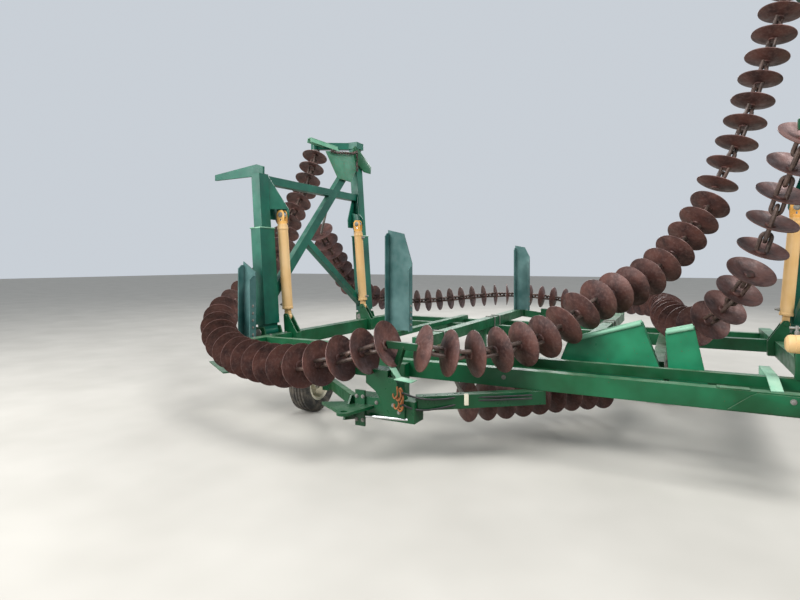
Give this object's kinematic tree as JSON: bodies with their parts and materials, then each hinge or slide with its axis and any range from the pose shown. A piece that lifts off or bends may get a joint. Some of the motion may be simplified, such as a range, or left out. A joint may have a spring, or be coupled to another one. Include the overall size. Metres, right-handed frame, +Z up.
{
  "type": "folded disc chain harrow",
  "caption": "Towed tillage harrow, wings folded upright, with dished discs on forged links hanging from the wings and frame.",
  "frame": {"origin": "on the ground under the middle of the folded machine", "axes": "+X to the machine's right, +Y forward to the hitch, +Z up"},
  "size_m": [7.08, 8.0998, 4.367],
  "materials": {
    "green_paint": "weathered gloss enamel",
    "disc_steel": "light rust",
    "cylinder_paint": "satin enamel",
    "chrome_rod": "polished",
    "tyre": "dusty rubber",
    "rim_paint": "satin enamel",
    "bare_steel": "worn"
  },
  "bodies": {
    "frame": {"axle": "green_paint", "cross_beams": "green_paint", "cylinder_brackets": "green_paint", "drawbar_legs": "green_paint", "front_junction": "green_paint", "guide_posts": "green_paint", "hinge_pins": "bare_steel", "hitch_clevis": "green_paint", "jack_body": "green_paint", "left_front_discs": "disc_steel", "left_rear_discs": "disc_steel", "long_beams": "green_paint", "rear_junction": "green_paint", "right_front_discs": "disc_steel", "right_rear_discs": "disc_steel", "saddles": "green_paint", "side_rails": "green_paint", "tail_arm": "green_paint", "tail_box": "green_paint", "tongue": "green_paint", "under_discs": "disc_steel", "under_hangers": "bare_steel"},
    "left_wing": {"left_front_post": "green_paint", "left_hook": "bare_steel", "left_outboard_arm": "green_paint", "left_rear_post": "green_paint", "left_rod_ears": "green_paint", "left_tip_arm": "green_paint", "left_wing_braces": "green_paint", "left_wing_diagonal": "green_paint", "left_wing_discs": "disc_steel", "left_wing_front_discs": "disc_steel"},
    "right_wing": {"right_front_post": "green_paint", "right_hanger": "green_paint", "right_outboard_arm": "green_paint", "right_rear_post": "green_paint", "right_rod_ears": "green_paint", "right_tip_arm": "green_paint", "right_wing_braces": "green_paint", "right_wing_diagonal": "green_paint", "right_wing_discs": "disc_steel", "right_wing_front_discs": "disc_steel"},
    "left_barrels": {"left_cylinder_barrels": "cylinder_paint"},
    "left_rods": {"left_cylinder_rods": "chrome_rod"},
    "right_barrels": {"right_cylinder_barrels": "cylinder_paint"},
    "right_rods": {"right_cylinder_rods": "chrome_rod"},
    "left_wheel": {"left_wheel_rim": "rim_paint", "left_wheel_tyre": "tyre"},
    "right_wheel": {"right_wheel_rim": "rim_paint", "right_wheel_tyre": "tyre"},
    "tail_wheel": {"tail_wheel_rim": "rim_paint", "tail_wheel_tyre": "tyre"},
    "jack_leg": {"jack_leg": "bare_steel"}
  },
  "joints": [
    {"name": "left_wing_fold", "type": "hinge", "parent": "frame", "child": "left_wing", "pos_m": [-2.7, 0, 0.8], "axis": [0, -1, 0], "range_deg": [0, 85]},
    {"name": "left_barrel_swing", "type": "hinge", "parent": "frame", "child": "left_barrels", "pos_m": [-2.59, 0, 0.96], "axis": [0, -1, 0], "range_deg": [0, 87]},
    {"name": "left_rod_slide", "type": "slide", "parent": "left_barrels", "child": "left_rods", "axis": [-0.0786, 0, 0.9969], "range_m": [0, 0.265]},
    {"name": "right_wing_fold", "type": "hinge", "parent": "frame", "child": "right_wing", "pos_m": [2.7, 0, 0.8], "axis": [0, 1, 0], "range_deg": [0, 85]},
    {"name": "right_barrel_swing", "type": "hinge", "parent": "frame", "child": "right_barrels", "pos_m": [2.59, 0, 0.96], "axis": [0, 1, 0], "range_deg": [0, 87]},
    {"name": "right_rod_slide", "type": "slide", "parent": "right_barrels", "child": "right_rods", "axis": [0.0786, 0, 0.9969], "range_m": [0, 0.265]},
    {"name": "left_wheel_spin", "type": "hinge", "parent": "frame", "child": "left_wheel", "pos_m": [-1.5, -0.45, 0.33], "axis": [1, 0, 0], "continuous": true},
    {"name": "right_wheel_spin", "type": "hinge", "parent": "frame", "child": "right_wheel", "pos_m": [1.5, -0.45, 0.33], "axis": [1, 0, 0], "continuous": true},
    {"name": "tail_wheel_spin", "type": "hinge", "parent": "frame", "child": "tail_wheel", "pos_m": [-1.95, -2.7, 0.3], "axis": [1, 0, 0], "continuous": true},
    {"name": "jack_slide", "type": "slide", "parent": "frame", "child": "jack_leg", "axis": [0, 0, 1], "range_m": [0, 0.28]}
  ],
  "couplings": [
    {"joint": "left_barrel_swing", "follows": "left_wing_fold", "ratio": 1.0175},
    {"joint": "left_rod_slide", "follows": "left_wing_fold", "m_per_rad": 0.17525},
    {"joint": "right_barrel_swing", "follows": "right_wing_fold", "ratio": 1.0175},
    {"joint": "right_rod_slide", "follows": "right_wing_fold", "m_per_rad": 0.17525}
  ]
}
